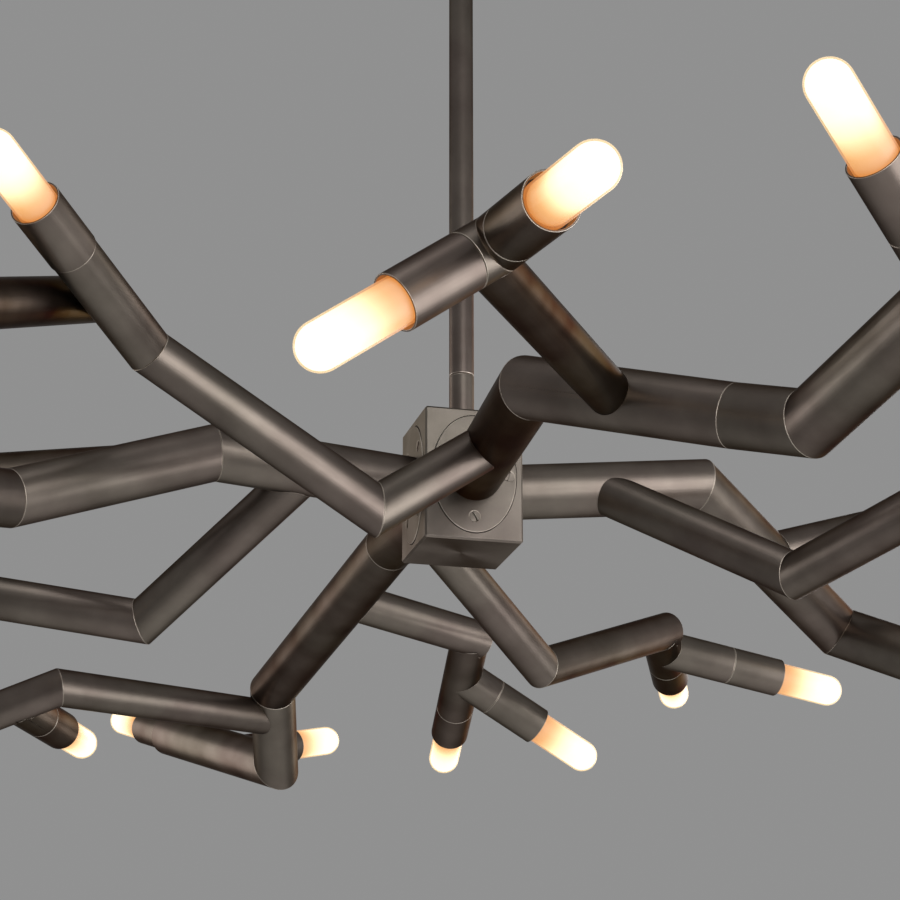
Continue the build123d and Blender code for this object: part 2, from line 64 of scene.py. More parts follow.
# %% Camera
PICTURE_PIXELS = 900
HUB_PIXEL = (461.7, 488.7)
HUB_DISTANCE = 1.31
CAMERA_AZIMUTH = math.radians(-14.3)
CAMERA_ELEVATION = math.radians(-18.5)
LENS_MM = 104.0
SENSOR_MM = 36.0

hub_low, hub_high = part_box("hub_block")
hub_middle = (hub_low + hub_high) / 2


def away_from_hub(azimuth, elevation):
    """The direction from the hub towards a camera or a lamp, with azimuth 0 at the front."""
    return Vector((math.sin(azimuth) * math.cos(elevation),
                   -math.cos(azimuth) * math.cos(elevation),
                   math.sin(elevation)))


def add_camera():
    back = away_from_hub(CAMERA_AZIMUTH, CAMERA_ELEVATION)
    right = Vector((0, 0, 1)).cross(back).normalized()
    up = back.cross(right)
    metres_per_pixel = HUB_DISTANCE * SENSOR_MM / (LENS_MM * PICTURE_PIXELS)
    aside = (HUB_PIXEL[0] - PICTURE_PIXELS / 2) * metres_per_pixel
    below = (HUB_PIXEL[1] - PICTURE_PIXELS / 2) * metres_per_pixel
    data = bpy.data.cameras.new("camera")
    data.lens = LENS_MM
    data.sensor_width = SENSOR_MM
    camera = bpy.data.objects.new("camera", data)
    place = hub_middle + back * HUB_DISTANCE - right * aside + up * below
    turn = Matrix((right, up, back)).transposed().to_4x4()
    camera.matrix_world = Matrix.Translation(place) @ turn
    scene.collection.objects.link(camera)
    scene.camera = camera
    return camera


print("camera at", [round(x, 3) for x in add_camera().matrix_world.translation])

# %% [markdown]
# Dark metal is seen mostly by what it mirrors, so it hangs in a plain grey room. One grey for everything
# would do, but then the room would either light the metal too much or look too dark behind it. So the
# room's light is split by ray: what the eye, a mirror or a glass sees is the full grey of the backdrop, and
# what falls on the object is a little less.

# %% Room light
BACKDROP = (0.28, 0.28, 0.28, 1.0)
ROOM_STRENGTH = 0.8


def link(tree, source, target):
    tree.links.new(source, target)


def add_room():
    world = bpy.data.worlds.new("room")
    scene.world = world
    world.use_nodes = True
    tree = world.node_tree
    tree.nodes.clear()
    path = tree.nodes.new("ShaderNodeLightPath")
    seen = tree.nodes.new("ShaderNodeMath")
    seen.operation = "MAXIMUM"
    shown = tree.nodes.new("ShaderNodeMath")
    shown.operation = "MAXIMUM"
    link(tree, path.outputs["Is Camera Ray"], seen.inputs[0])
    link(tree, path.outputs["Is Glossy Ray"], seen.inputs[1])
    link(tree, seen.outputs[0], shown.inputs[0])
    link(tree, path.outputs["Is Transmission Ray"], shown.inputs[1])
    lighting = tree.nodes.new("ShaderNodeBackground")
    lighting.inputs["Color"].default_value = BACKDROP
    lighting.inputs["Strength"].default_value = ROOM_STRENGTH
    backdrop = tree.nodes.new("ShaderNodeBackground")
    backdrop.inputs["Color"].default_value = BACKDROP
    mix = tree.nodes.new("ShaderNodeMixShader")
    out = tree.nodes.new("ShaderNodeOutputWorld")
    link(tree, shown.outputs[0], mix.inputs["Fac"])
    link(tree, lighting.outputs[0], mix.inputs[1])
    link(tree, backdrop.outputs[0], mix.inputs[2])
    link(tree, mix.outputs[0], out.inputs["Surface"])


scene.view_settings.view_transform = "Standard"
add_room()
print("room light has", len(scene.world.node_tree.nodes), "nodes")

# %% [markdown]
# The floor is a pale matt sheet far below the light. It could be left out, since a pendant touches no
# floor, but it throws a little soft light up on the undersides.

# %% Floor
FLOOR_Z = -2.6
FLOOR_SIZE = 14.0
FLOOR_COLOUR = (0.8, 0.8, 0.79, 1.0)
FLOOR_ROUGHNESS = 0.8


def add_floor():
    mesh = bpy.data.meshes.new("floor")
    half = FLOOR_SIZE / 2
    around = [(-half, -half), (half, -half), (half, half), (-half, half)]
    mesh.from_pydata([(x, y, FLOOR_Z) for x, y in around], [], [(0, 1, 2, 3)])
    floor = bpy.data.objects.new("floor", mesh)
    scene.collection.objects.link(floor)
    material = bpy.data.materials.new("pale_floor")
    material.use_nodes = True
    shader = material.node_tree.nodes["Principled BSDF"]
    shader.inputs["Base Color"].default_value = FLOOR_COLOUR
    shader.inputs["Roughness"].default_value = FLOOR_ROUGHNESS
    mesh.materials.append(material)


add_floor()

# %% [markdown]
# Small bright lamps would draw thin, hard lines on the tubes, so the lamps are large soft panels. Two tall
# ones stand in front and to the right, and give each tube one long highlight. Two weaker ones behind and a
# small one above keep the far sides from going flat.

# %% Soft lamps
# Each lamp: name, azimuth from the front and elevation in degrees, distance, width and height in metres,
# and brightness
STUDIO_LAMPS = [
    ("front_panel", 3, -4, 2.4, 1.4, 2.1, 3.6),
    ("right_panel", 62, -9, 2.4, 1.9, 2.2, 3.4),
    ("back_right_panel", 130, 8, 2.6, 2.2, 1.8, 2.5),
    ("back_left_panel", -135, 4, 2.6, 1.5, 1.8, 2.2),
    ("top_lamp", -30, 60, 2.6, 1.2, 1.2, 1.6),
]


def add_lamp(name, azimuth, elevation, distance, width, height, brightness):
    """A soft panel that faces the hub and is seen only as light and in reflections."""
    data = bpy.data.lights.new(name, "AREA")
    data.shape = "RECTANGLE"
    data.size = width
    data.size_y = height
    data.energy = brightness * math.pi * width * height
    lamp = bpy.data.objects.new(name, data)
    away = away_from_hub(math.radians(azimuth), math.radians(elevation))
    lamp.location = hub_middle + away * distance
    lamp.rotation_euler = (-away).to_track_quat("-Z", "Y").to_euler()
    lamp.visible_camera = False
    scene.collection.objects.link(lamp)


for lamp in STUDIO_LAMPS:
    add_lamp(*lamp)
print("studio has", len(STUDIO_LAMPS), "lamps")

# %% [markdown]
# Every finish is built from a few kinds of shader node. Noise gives uneven values, a ramp turns them into
# colours, and a map range turns them into roughness. These small helpers add one node each. The same nodes
# could be placed by hand in the shader editor, but a helper keeps each finish to a few lines.

# %% Shader helpers
CLOUDS = 45.0


def new_finish(name, metallic):
    """A new finish: the material, its node tree and its shader."""
    material = bpy.data.materials.new(name)
    material.use_nodes = True
    shader = material.node_tree.nodes["Principled BSDF"]
    shader.inputs["Metallic"].default_value = metallic
    return material, material.node_tree, shader


def noise(tree, vector, scale, detail):
    node = tree.nodes.new("ShaderNodeTexNoise")
    node.inputs["Scale"].default_value = scale
    node.inputs["Detail"].default_value = detail
    link(tree, vector, node.inputs["Vector"])
    return node.outputs["Fac"]


def ramp(tree, value, stops):
    """A colour ramp from (position, colour) stops."""
    node = tree.nodes.new("ShaderNodeValToRGB")
    points = node.color_ramp.elements
    while len(points) < len(stops):
        points.new(1.0)
    for point, (position, colour) in zip(points, stops):
        point.position = position
        point.color = (*colour, 1.0)
    link(tree, value, node.inputs["Fac"])
    return node.outputs["Color"]


def spread(tree, value, low, high):
    """A value from 0 to 1 made to run from low to high."""
    node = tree.nodes.new("ShaderNodeMapRange")
    node.inputs["To Min"].default_value = low
    node.inputs["To Max"].default_value = high
    link(tree, value, node.inputs["Value"])
    return node.outputs["Result"]


def mixed(tree, share, first, second):
    """Two colours mixed by a share from 0 to 1."""
    node = tree.nodes.new("ShaderNodeMix")
    node.data_type = "RGBA"
    link(tree, share, node.inputs["Factor"])
    link(tree, first, node.inputs["A"])
    link(tree, second, node.inputs["B"])
    return node.outputs["Result"]


def bump(tree, height, shader, strength, depth):
    node = tree.nodes.new("ShaderNodeBump")
    node.inputs["Strength"].default_value = strength
    node.inputs["Distance"].default_value = depth
    link(tree, height, node.inputs["Height"])
    link(tree, node.outputs["Normal"], shader.inputs["Normal"])


print("clouds of patina are about", round(1000 / CLOUDS), "mm across")

# %% [markdown]
# Brushing leaves fine lines along each tube. The lines are a noise squeezed along a "grain" place that is
# stored on each mesh, so they run the way that each piece was brushed. Image textures would need
# unwrapping, and would blur close up.
# Brushing also spreads a highlight across its lines, which is what makes the metal look satin. The shader
# calls this anisotropy, and needs to know the direction: a stored "brush" direction, crossed with the
# surface's normal, points across the lines.

# %% Brush lines
BRUSH_STRETCH = 0.02
BRUSH_LINES = 2600.0


def grain_of(tree, stretch):
    """The stored grain place, as it is and squeezed along the brushing so that noise turns into lines."""
    stored = tree.nodes.new("ShaderNodeAttribute")
    stored.attribute_name = "grain"
    squeeze = tree.nodes.new("ShaderNodeMapping")
    squeeze.inputs["Scale"].default_value = (1.0, 1.0, stretch)
    link(tree, stored.outputs["Vector"], squeeze.inputs["Vector"])
    return stored.outputs["Vector"], squeeze.outputs["Vector"]


def across_brushing(tree):
    """The direction that lies in the surface, across the brush lines."""
    stored = tree.nodes.new("ShaderNodeAttribute")
    stored.attribute_name = "brush"
    turned = tree.nodes.new("ShaderNodeVectorTransform")
    turned.vector_type = "VECTOR"
    turned.convert_from = "OBJECT"
    turned.convert_to = "WORLD"
    surface = tree.nodes.new("ShaderNodeNewGeometry")
    across = tree.nodes.new("ShaderNodeVectorMath")
    across.operation = "CROSS_PRODUCT"
    link(tree, stored.outputs["Vector"], turned.inputs["Vector"])
    link(tree, turned.outputs["Vector"], across.inputs[0])
    link(tree, surface.outputs["Normal"], across.inputs[1])
    return across.outputs["Vector"]


print("brush lines are about", round(1000 / BRUSH_LINES, 2), "mm apart")

# %% [markdown]
# The bronze is a dark chemical patina over brushed metal. Besides the brush lines, a cloudy noise makes the
# patina lighter and darker, and a broad one leans it from brown to olive. A single flat colour would be
# simpler, but real patina is never even. The hub is a little lighter and rougher than the tubes, and the
# worn bronze is for edges where the patina is rubbed through.

# %% Dark bronze finishes
CLOUD_DETAIL = 5.0
CLOUD_STOPS = (0.3, 0.7)
LINE_DETAIL = 2.0
TINT_PATCHES = 9.0
TINT_DETAIL = 2.0
TINT_STOPS = (0.42, 0.62)
BRUSH_DEPTH = 0.0002
SATIN = 0.6
DARK_RIM = (0.22, 0.20, 0.19, 1.0)
# For each bronze: the darkest and lightest brown, the same in olive, the range of roughness and how strongly
# the brush lines show
TUBE_BROWN = ((0.138, 0.110, 0.096), (0.196, 0.161, 0.140))
TUBE_OLIVE = ((0.134, 0.115, 0.096), (0.192, 0.166, 0.140))
TUBE_ROUGHNESS = (0.28, 0.40)
TUBE_LINES = 0.10
HUB_BROWN = ((0.172, 0.145, 0.126), (0.250, 0.213, 0.186))
HUB_OLIVE = ((0.170, 0.149, 0.124), (0.246, 0.217, 0.184))
HUB_ROUGHNESS = (0.34, 0.50)
HUB_LINES = 0.12
WORN_BROWN = ((0.32, 0.275, 0.237), (0.56, 0.48, 0.42))
WORN_OLIVE = ((0.31, 0.275, 0.230), (0.54, 0.48, 0.41))
WORN_ROUGHNESS = (0.26, 0.44)
WORN_LINES = 0.08


def bronze_finish(name, brown, olive, roughness, line_strength):
    """Brushed metal under a patina that runs from a dark to a light tone, in brown and in olive."""
    material, tree, shader = new_finish(name, 1.0)
    place, lines_place = grain_of(tree, BRUSH_STRETCH)
    lines = noise(tree, lines_place, BRUSH_LINES, LINE_DETAIL)
    clouds = noise(tree, place, CLOUDS, CLOUD_DETAIL)
    patches = noise(tree, place, TINT_PATCHES, TINT_DETAIL)
    brown_tone = ramp(tree, clouds, list(zip(CLOUD_STOPS, brown)))
    olive_tone = ramp(tree, clouds, list(zip(CLOUD_STOPS, olive)))
    lean = ramp(tree, patches, list(zip(TINT_STOPS, ((0, 0, 0), (1, 1, 1)))))
    link(tree, mixed(tree, lean, brown_tone, olive_tone), shader.inputs["Base Color"])
    link(tree, spread(tree, lines, *roughness), shader.inputs["Roughness"])
    shader.inputs["Specular Tint"].default_value = DARK_RIM
    shader.inputs["Anisotropic"].default_value = SATIN
    link(tree, across_brushing(tree), shader.inputs["Tangent"])
    bump(tree, lines, shader, line_strength, BRUSH_DEPTH)
    return material


tube_bronze = bronze_finish("tube_bronze", TUBE_BROWN, TUBE_OLIVE, TUBE_ROUGHNESS, TUBE_LINES)
hub_bronze = bronze_finish("hub_bronze", HUB_BROWN, HUB_OLIVE, HUB_ROUGHNESS, HUB_LINES)
worn_bronze = bronze_finish("worn_bronze", WORN_BROWN, WORN_OLIVE, WORN_ROUGHNESS, WORN_LINES)
print("bronze finishes", tube_bronze.name, hub_bronze.name, worn_bronze.name)

# %% [markdown]
# A lit bulb floods the bore of its sleeve with warm light, many times brighter than a picture can show. So
# the bore's bronze is made warmer and glows a little: this is painted bulb light, not a colour of the metal.

# %% Painted bulb light in the bore of the lamp sleeves
# Warmer bronze tones and a faint glow, painted in as the bulb's light on the bore
BORE_BROWN_WITH_PAINTED_LIGHT = ((0.30, 0.17, 0.09), (0.44, 0.26, 0.14))
BORE_OLIVE_WITH_PAINTED_LIGHT = ((0.28, 0.17, 0.09), (0.42, 0.27, 0.14))
BORE_ROUGHNESS = (0.40, 0.55)
BORE_LINES = 0.08
BORE_PAINTED_GLOW_COLOUR = (1.0, 0.40, 0.12, 1.0)
BORE_PAINTED_GLOW_STRENGTH = 0.22

bore_painted_bulb_light = bronze_finish("bore_painted_bulb_light", BORE_BROWN_WITH_PAINTED_LIGHT, BORE_OLIVE_WITH_PAINTED_LIGHT, BORE_ROUGHNESS, BORE_LINES)
bore_shader = bore_painted_bulb_light.node_tree.nodes["Principled BSDF"]
bore_shader.inputs["Emission Color"].default_value = BORE_PAINTED_GLOW_COLOUR
bore_shader.inputs["Emission Strength"].default_value = BORE_PAINTED_GLOW_STRENGTH
print("bore finish", bore_painted_bulb_light.name)

# %% [markdown]
# A node can hold several solids, such as the straight tubes of one arm. Each has to be brushed along its own
# line, so the node's mesh is first taken apart. Blender could separate the loose parts with an operator, but
# that makes new objects, and here only the points and faces are needed.

# %% Taking a node apart
WELD = 1e-6


def solids_of(node):
    """Each separate solid of a node, as an array of points and a list of faces."""
    work = bmesh.new()
    work.from_mesh(frame["nodes"][node].data)
    bmesh.ops.remove_doubles(work, verts=work.verts, dist=WELD)
    work.verts.index_update()
    work.faces.index_update()
    seen = set()
    found = []
    for first in work.verts:
        if first.index in seen:
            continue
        seen.add(first.index)
        group = [first]
        for vert in group:
            for edge in vert.link_edges:
                other = edge.other_vert(vert)
                if other.index not in seen:
                    seen.add(other.index)
                    group.append(other)
        number = {vert.index: count for count, vert in enumerate(group)}
        faces = {}
        for vert in group:
            for face in vert.link_faces:
                faces[face.index] = [number[corner.index] for corner in face.verts]
        points = np.array([vert.co for vert in group], float)
        found.append((points, [faces[index] for index in sorted(faces)]))
    work.free()
    return found


print("front arm has", len(solids_of("front_arm_main")), "tubes in its main node")

# %% [markdown]
# Each tube's direction comes from its faces: all of a tube's side faces look away from one line, so the
# direction that their normals share least is the tube's own. The line could be written down for each tube
# instead, but would have to be written again whenever a tube moves.
# Faces that look back towards the line are the tube's bore.

# %% Finding the line of a tube
TINY = 1e-15
SIDE_LEAN = 0.3
INWARD = -0.5


def face_facts(points, faces):
    """The middle of each triangle, its normal and twice its area."""
    corners = points[np.array(faces)]
    normals = np.cross(corners[:, 1] - corners[:, 0], corners[:, 2] - corners[:, 0])
    areas = np.linalg.norm(normals, axis=1) + TINY
    return corners.mean(axis=1), normals / areas[:, None], areas


def round_about(points, faces):
    """The line that a turned or tubular solid is round about: a point on it and its direction."""
    middles, normals, areas = face_facts(points, faces)
    spin = np.linalg.eigh((normals * areas[:, None]).T @ normals)[1][:, 0]
    sideways = np.abs(normals @ spin) < SIDE_LEAN
    left = np.outer(spin, spin) * areas.sum()
    right = left @ points.mean(axis=0)
    for middle, normal, area in zip(middles[sideways], normals[sideways], areas[sideways]):
        flat = np.eye(3) - np.outer(normal, normal)
        left += area * flat
        right += area * flat @ middle
    return np.linalg.solve(left, right), spin


def looks_inward(points, faces):
    """Which faces of a turned solid look in towards its middle line."""
    origin, spin = round_about(points, faces)
    middles, normals = face_facts(points, faces)[:2]
    away = middles - origin
    away -= np.outer(away @ spin, spin)
    away /= np.linalg.norm(away, axis=1)[:, None] + TINY
    return (normals * away).sum(axis=1) < INWARD


print("stem runs along", np.abs(round_about(*solids_of("stem")[0])[1]).round(3))

# %% [markdown]
# The grain is a place for every point, with its third number running along the brush lines. On a tube the
# lines run along it, on a turned piece round it, and on the hub straight up. A shift for each solid keeps
# two tubes that meet from sharing one pattern. The shader's own object place could be used instead, but its
# lines would then run one way through the whole light.

# %% Storing the grain
GRAIN_STEP = 1.7
NEARLY_UPRIGHT = 0.9


def brushed(points, faces, brushing, count):
    """Where each point lies in the brushing, with lines along the third number, and which way they run."""
    shift = GRAIN_STEP * count
    if brushing == "upright":
        return points + shift, np.tile((0.0, 0.0, 1.0), (len(points), 1))
    origin, spin = round_about(points, faces)
    lead = (0, 0, 1) if abs(spin[2]) < NEARLY_UPRIGHT else (1, 0, 0)
    side = np.cross(spin, lead)
    side = side / np.linalg.norm(side)
    other = np.cross(spin, side)
    local = (points - origin) @ np.array([side, other, spin]).T
    if brushing == "along":
        return local + shift, np.tile(spin, (len(points), 1))
    radius = np.hypot(local[:, 0], local[:, 1])
    turn = np.arctan2(local[:, 1], local[:, 0])
    places = np.stack([radius, local[:, 2], np.abs(turn) * radius], axis=1)
    return places + shift, np.outer(np.cos(turn), other) - np.outer(np.sin(turn), side)


def store(mesh, name, vectors):
    stored = mesh.attributes.new(name, "FLOAT_VECTOR", "POINT")
    stored.data.foreach_set("vector", np.asarray(vectors, np.float32).ravel())


stem_places = brushed(*solids_of("stem")[0], "along", 0)[0]
print("brush lines on the stem are", np.ptp(stem_places[:, 2]).round(3), "m long")

# %% [markdown]
# The round wall of a tube is really a ring of long flat strips, and each strip comes as triangles of uneven
# size. The even shading that is added later counts faces by their area, so uneven triangles would show as a
# faint line along the tube. Joining the triangles of each strip lets every strip count once. A finer mesh
# would hide the line too, but would be heavier.
# The main tubes of the front arm keep their triangles: a wire hole cuts into one of their strips, and
# rounding a joined strip there would pull it out into a dark sliver.

# %% Joining the strips of a tube
FLAT_ANGLE = math.radians(0.3)
STRIP_LEAN = 0.1
KEEP_TRIANGLES = ["front_arm_main"]


def join_strips(mesh):
    """Joins the triangles of each flat strip of a tube, so that every strip counts once in the shading."""
    work = bmesh.new()
    work.from_mesh(mesh)
    along = work.verts.layers.float_vector["brush"]
    sides = {face for face in work.faces if abs(face.normal.dot(face.verts[0][along])) < STRIP_LEAN}
    edges = [edge for edge in work.edges if sides.issuperset(edge.link_faces)]
    bmesh.ops.dissolve_limit(work, angle_limit=FLAT_ANGLE, verts=[], edges=edges, delimit={"MATERIAL"})
    work.to_mesh(mesh)
    work.free()


print("triangles are kept on", *KEEP_TRIANGLES)

# %% [markdown]
# A real tube end is never razor sharp: filing and handling round it and rub the patina through. So one
# function dresses any metal node. It gathers the node's solids into one mesh, stores the grain, and rounds
# the edges with a bevel whose own faces take the worn finish. That draws the thin bright line along each
# slanted joint. Weighted normals keep the flat faces flat. Where a bore finish is given, the faces that look
# inward take it. Rounding the edges by hand would do the same, but would have to be done again whenever a
# tube changes.
# A bevel is usually clamped, so that it never overlaps itself. On tubes the clamp is off, because it goes by
# the tightest spot of the whole mesh, and would thin every joint of an arm.
# The new piece then stands for the node and rides on the node's body.

# %% Dressing a metal node
BODY_OF = {node: body
           for body, nodes in frame["record"]["behaviour"]["bodies"].items()
           for node in nodes}
SLOT_OF = {part["node"]: part["material_slot"] for part in frame["record"]["subparts"]}
BEVEL_ANGLE = math.radians(24)
BEVEL_STEPS = 2
PLAIN_FACES = 0
WORN_FACES = 1
BORE_FACES = 2


def new_piece(name, points, faces, materials):
    mesh = bpy.data.meshes.new(name)
    mesh.from_pydata([tuple(point) for point in points], [], faces)
    for material in materials:
        mesh.materials.append(material)
    mesh.shade_smooth()
    piece = bpy.data.objects.new(name, mesh)
    scene.collection.objects.link(piece)
    return piece


def round_edges(piece, edge, brushing):
    """Rounds the sharp edges of a piece and keeps its flat faces flat."""
    rounding = piece.modifiers.new("rounded_edges", "BEVEL")
    rounding.use_clamp_overlap = brushing != "along"
    rounding.width = edge
    rounding.segments = BEVEL_STEPS
    rounding.limit_method = "ANGLE"
    rounding.angle_limit = BEVEL_ANGLE
    rounding.material = WORN_FACES
    piece.modifiers.new("even_shading", "WEIGHTED_NORMAL").keep_sharp = True


def dress(node, finish, edge, brushing="along", bore=None):
    """A copy of a metal node with rounded, rubbed edges and a brushed finish, standing for the node."""
    points = []
    faces = []
    grain = []
    brush = []
    inside = []
    for count, (solid_points, solid_faces) in enumerate(solids_of(node)):
        faces += [[len(points) + index for index in face] for face in solid_faces]
        places, directions = brushed(solid_points, solid_faces, brushing, count)
        grain += list(places)
        brush += list(directions)
        points += list(solid_points)
        if bore:
            inside += list(looks_inward(solid_points, solid_faces))
    piece = new_piece(node + "_finished", points, faces, [finish, worn_bronze])
    if bore:
        piece.data.materials.append(bore)
        finishes = np.where(inside, BORE_FACES, PLAIN_FACES).astype(np.int32)
        piece.data.polygons.foreach_set("material_index", finishes)
    store(piece.data, "grain", grain)
    store(piece.data, "brush", brush)
    if brushing == "along" and node not in KEEP_TRIANGLES:
        join_strips(piece.data)
    round_edges(piece, edge, brushing)
    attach(piece, BODY_OF[node])
    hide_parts(node)
    return piece


print("edges sharper than", round(math.degrees(BEVEL_ANGLE)), "degrees will be rounded")

# %% [markdown]
# The arms and sleeves are drawn tube, brushed along their length. They could be built anew from curves with
# a round profile, but the solids already hold the slanted joints and the shaped ends of the branches, so
# dressing them keeps every joint in its place.

# %% Arms and lamp sleeves
ARM_EDGE = 0.00032
SLEEVE_EDGE = 0.00022
tubes = []
for node in frame["nodes"]:
    if "_arm_" in node:
        tubes.append(dress(node, tube_bronze, ARM_EDGE))
    # The sleeves' bores take the painted bulb light
    if node.endswith("_lamp_sleeves"):
        tubes.append(dress(node, tube_bronze, SLEEVE_EDGE, bore=bore_painted_bulb_light))
print("dressed", len(tubes), "nodes of arms and sleeves")

# %% [markdown]
# The hub is one machined block, brushed upright, with the oval flanges let into its sides. The flange
# screws are the same bronze, with their slots turned every which way, as a fitter leaves them. The block
# could be a plain cube with wide bevels, but its solid already has the chamfers and the pockets, so only
# the last fine rounding is added.

# %% Hub, flanges and screws
HUB_EDGE = 0.0003
SCREW_EDGE = 0.00012
dress("hub_block", hub_bronze, HUB_EDGE, "upright")
for side in ("front", "right", "left", "back"):
    dress(side + "_flange", hub_bronze, HUB_EDGE, "upright")
dress("flange_screws", hub_bronze, SCREW_EDGE, "round")
print("hub dressed, with", len(solids_of("flange_screws")), "screws")

# %% [markdown]
# The stem is drawn tube too. The canopy and the seat under it are spun and turned, so their brush lines
# run round them. A second material could draw round lines, but with the grain stored on the mesh the one
# bronze serves for both.

# %% Stem and ceiling fitting
STEM_EDGE = 0.0002
CANOPY_EDGE = 0.0004
FITTING_EDGE = 0.0003
dress("stem", tube_bronze, STEM_EDGE)
dress("stem_collar", tube_bronze, STEM_EDGE)
dress("canopy", tube_bronze, CANOPY_EDGE, "round")
dress("swivel_seat", tube_bronze, FITTING_EDGE, "round")
dress("canopy_cap_nuts", tube_bronze, FITTING_EDGE, "round")
print("stem and canopy dressed")

# %% [markdown]
# The pieces inside the canopy, hub and sleeves get plain shop finishes: plated steel, bare turned brass, and
# dark moulded plastic with a fine pebbled skin. They could be dressed like the tubes, but they hardly show,
# so they keep their solids. These carry no grain, and their noises read the object's own place instead.

# %% Inner pieces
SKIN_DETAIL = 4.0
SKIN_STRENGTH = 0.06
SKIN_DEPTH = 0.0002
ROUGHNESS_SWAY = 0.07
# For each finish: its darkest and lightest colour
STEEL = ((0.46, 0.46, 0.47), (0.62, 0.62, 0.61))
BRASS = ((0.50, 0.36, 0.14), (0.66, 0.50, 0.23))
PLASTIC = ((0.035, 0.032, 0.030), (0.060, 0.056, 0.052))


def shop_finish(name, tones, metallic, roughness, scale):
    """A plain finish that a noise makes a little uneven in colour, roughness and height."""
    material, tree, shader = new_finish(name, metallic)
    place = tree.nodes.new("ShaderNodeTexCoord").outputs["Object"]
    clouds = noise(tree, place, scale, SKIN_DETAIL)
    link(tree, ramp(tree, clouds, list(zip(CLOUD_STOPS, tones))), shader.inputs["Base Color"])
    roughnesses = spread(tree, clouds, roughness - ROUGHNESS_SWAY, roughness + ROUGHNESS_SWAY)
    link(tree, roughnesses, shader.inputs["Roughness"])
    bump(tree, clouds, shader, SKIN_STRENGTH, SKIN_DEPTH)
    return material


plated_steel = shop_finish("plated_steel", STEEL, metallic=1.0, roughness=0.34, scale=220.0)
turned_brass = shop_finish("turned_brass", BRASS, metallic=1.0, roughness=0.30, scale=300.0)
moulded_plastic = shop_finish("moulded_plastic", PLASTIC, metallic=0.0, roughness=0.55, scale=900.0)
SLOT_FINISH = {"bright_steel": plated_steel, "raw_brass": turned_brass, "lampholder": moulded_plastic}
for node, solid in frame["nodes"].items():
    if SLOT_OF[node] in SLOT_FINISH:
        solid.data.materials.clear()
        solid.data.materials.append(SLOT_FINISH[SLOT_OF[node]])
print("inner finishes", *(finish.name for finish in SLOT_FINISH.values()))

# %% [markdown]
# A bulb is a frosted glass tube with a round end, a light source inside it and a brass screw cap. The glow
# isn't painted for one view: a bright core sits inside a thin, warm, half-clear shell, so wherever the core
# isn't behind the glass, as at the edges and in the sleeve's mouth, the glass is orange.

# %% Bulb finishes
TOP_GLOW = 4.0
FROST = (0.25, 0.23, 0.20, 1.0)
# Glow colours and strengths by the height along the bulb, from 0 at its foot to 1 at its tip
GLASS_GLOW = [(0.0, (1.0, 0.30, 0.05)), (0.25, (1.0, 0.42, 0.10)), (0.5, (1.0, 0.62, 0.24)),
              (1.0, (1.0, 0.70, 0.32))]
GLASS_STRENGTH = [(0.0, 0.55), (0.25, 0.70), (1.0, 0.85)]
CORE_GLOW = [(0.0, (1.0, 0.36, 0.07)), (0.22, (1.0, 0.52, 0.16)), (0.42, (1.0, 0.80, 0.48)),
             (0.6, (1.0, 0.90, 0.68)), (1.0, (1.0, 0.92, 0.72))]
CORE_STRENGTH = [(0.0, 0.5), (0.22, 0.85), (0.45, 1.9), (1.0, 2.3)]


def glow_finish(name, stops, strengths, alpha, roughness):
    """A lit finish whose colour and strength follow the stored height along the bulb."""
    material, tree, shader = new_finish(name, 0.0)
    stored = tree.nodes.new("ShaderNodeAttribute")
    stored.attribute_name = "height"
    link(tree, ramp(tree, stored.outputs["Fac"], stops), shader.inputs["Emission Color"])
    greys = [(place, (value / TOP_GLOW,) * 3) for place, value in strengths]
    strength = ramp(tree, stored.outputs["Fac"], greys)
    link(tree, spread(tree, strength, 0.0, TOP_GLOW), shader.inputs["Emission Strength"])
    shader.inputs["Base Color"].default_value = FROST
    shader.inputs["Roughness"].default_value = roughness
    shader.inputs["Alpha"].default_value = alpha
    return material


frosted_glass = glow_finish("frosted_glass", GLASS_GLOW, GLASS_STRENGTH, alpha=0.5, roughness=0.35)
light_core = glow_finish("light_core", CORE_GLOW, CORE_STRENGTH, alpha=1.0, roughness=0.6)
print("bulb finishes", frosted_glass.name, light_core.name)

# %% [markdown]
# The bulb's meshes are made once, standing on the sleeve's mouth with the tip up, and every lamp uses the
# same ones. A turned mesh is an outline spun about an axis. A screw modifier could spin it too, but a mesh
# made in full can store the height that the glow follows.

# %% Bulb glass and core meshes
GLASS_R = 0.0095
GLASS_SHOWN = 0.044
GLASS_HIDDEN = 0.005
GLASS_FOOT_R = 0.00855
GLASS_FOOT_RISE = 0.0004
CORE_R = 0.0087
CORE_HIDDEN = 0.0025
CORE_FOOT_RISE = 0.0005
SPIN = 48
GLASS_ROWS = 24
CORE_ROWS = 16
DOME_ROWS = 12


def spun(name, outline, material):
    """A closed mesh from an outline of (radius, height), spun about Z, with a height from 0 to 1 stored."""
    points = []
    rows = []
    for radius, height in outline:
        count = SPIN if radius else 1
        rows.append(range(len(points), len(points) + count))
        for step in range(count):
            turn = 2 * math.pi * step / SPIN
            points.append((radius * math.cos(turn), radius * math.sin(turn), height))
    faces = []
    for low, high in zip(rows, rows[1:]):
        for step in range(SPIN):
            after = (step + 1) % SPIN
            around = (low[step % len(low)], low[after % len(low)],
                      high[after % len(high)], high[step % len(high)])
            face = list(dict.fromkeys(around))
            if len(face) > 2:
                faces.append(face)
    mesh = bpy.data.meshes.new(name)
    mesh.from_pydata(points, [], faces)
    mesh.materials.append(material)
    mesh.shade_smooth()
    heights = np.array([point[2] for point in points])
    shares = (heights + GLASS_HIDDEN) / (GLASS_SHOWN + GLASS_HIDDEN)
    stored = mesh.attributes.new("height", "FLOAT", "POINT")
    stored.data.foreach_set("value", shares.astype(np.float32))
    return mesh


